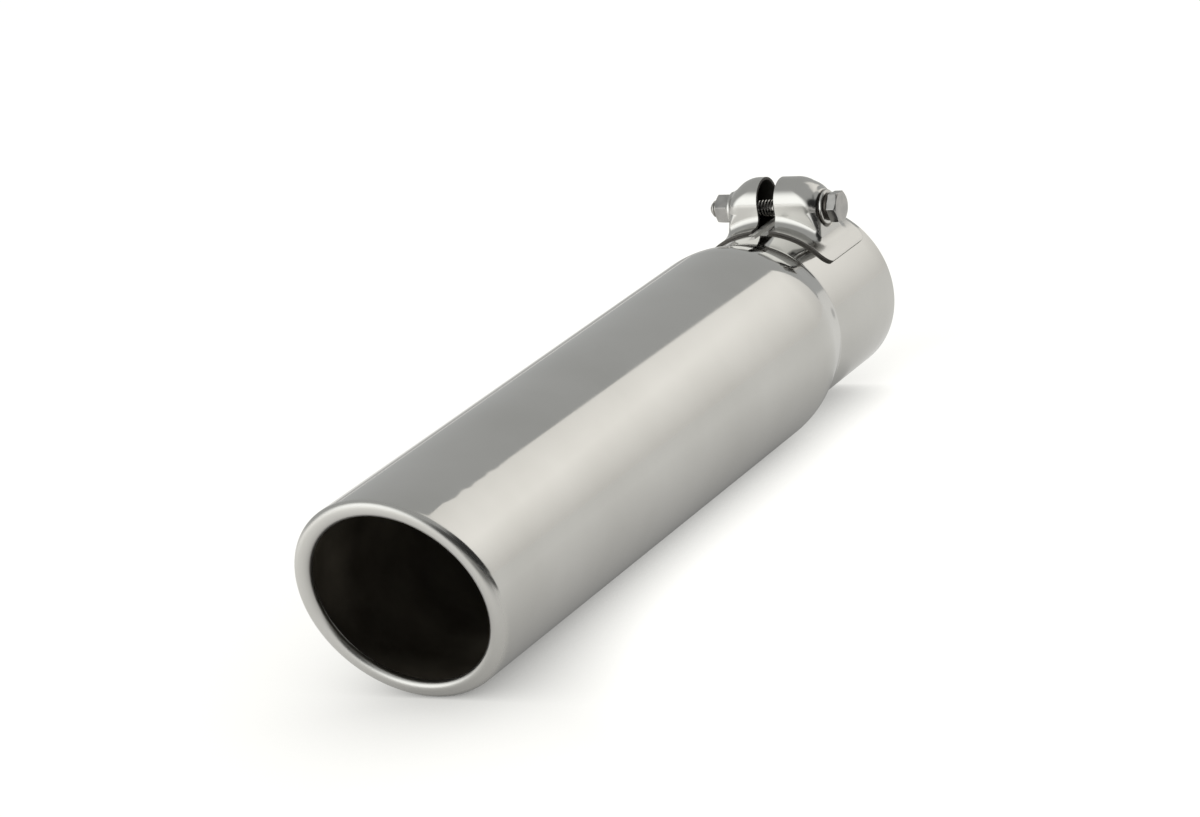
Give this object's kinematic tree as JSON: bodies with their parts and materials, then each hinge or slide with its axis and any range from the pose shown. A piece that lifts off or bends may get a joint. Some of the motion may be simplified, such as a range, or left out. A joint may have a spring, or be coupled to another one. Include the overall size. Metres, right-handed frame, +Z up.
{
  "type": "exhaust tip",
  "caption": "Clamp-on tail pipe tip: polished straight tube with a slanted rolled-in mouth, a swaged shoulder and a slotted collar drawn shut by a bolt through two pressed ears.",
  "frame": {"origin": "centre of the collar's rear edge, on the tube's axis", "axes": "+Y along the tube's axis, out of the collar and towards the car's pipe; the mouth looks along -Y; +Z up through the clamp; +X to the side of the bolt's head"},
  "size_m": [0.0762, 0.3267, 0.0882],
  "materials": {
    "tube_steel": "mirror-polished stainless steel",
    "ear_steel": "polished stainless sheet",
    "bolt_zinc": "satin zinc-plated steel",
    "washer_zinc": "bright zinc-plated steel",
    "spring_steel": "dark spring steel"
  },
  "bodies": {
    "root": {"tip_shell": "tube_steel", "clamp_ear_left": "ear_steel", "clamp_ear_right": "ear_steel", "clamp_bolt": "bolt_zinc", "head_washer": "washer_zinc", "spring_washer": "spring_steel", "nut_washer": "washer_zinc", "clamp_nut": "bolt_zinc"}
  },
  "joints": []
}
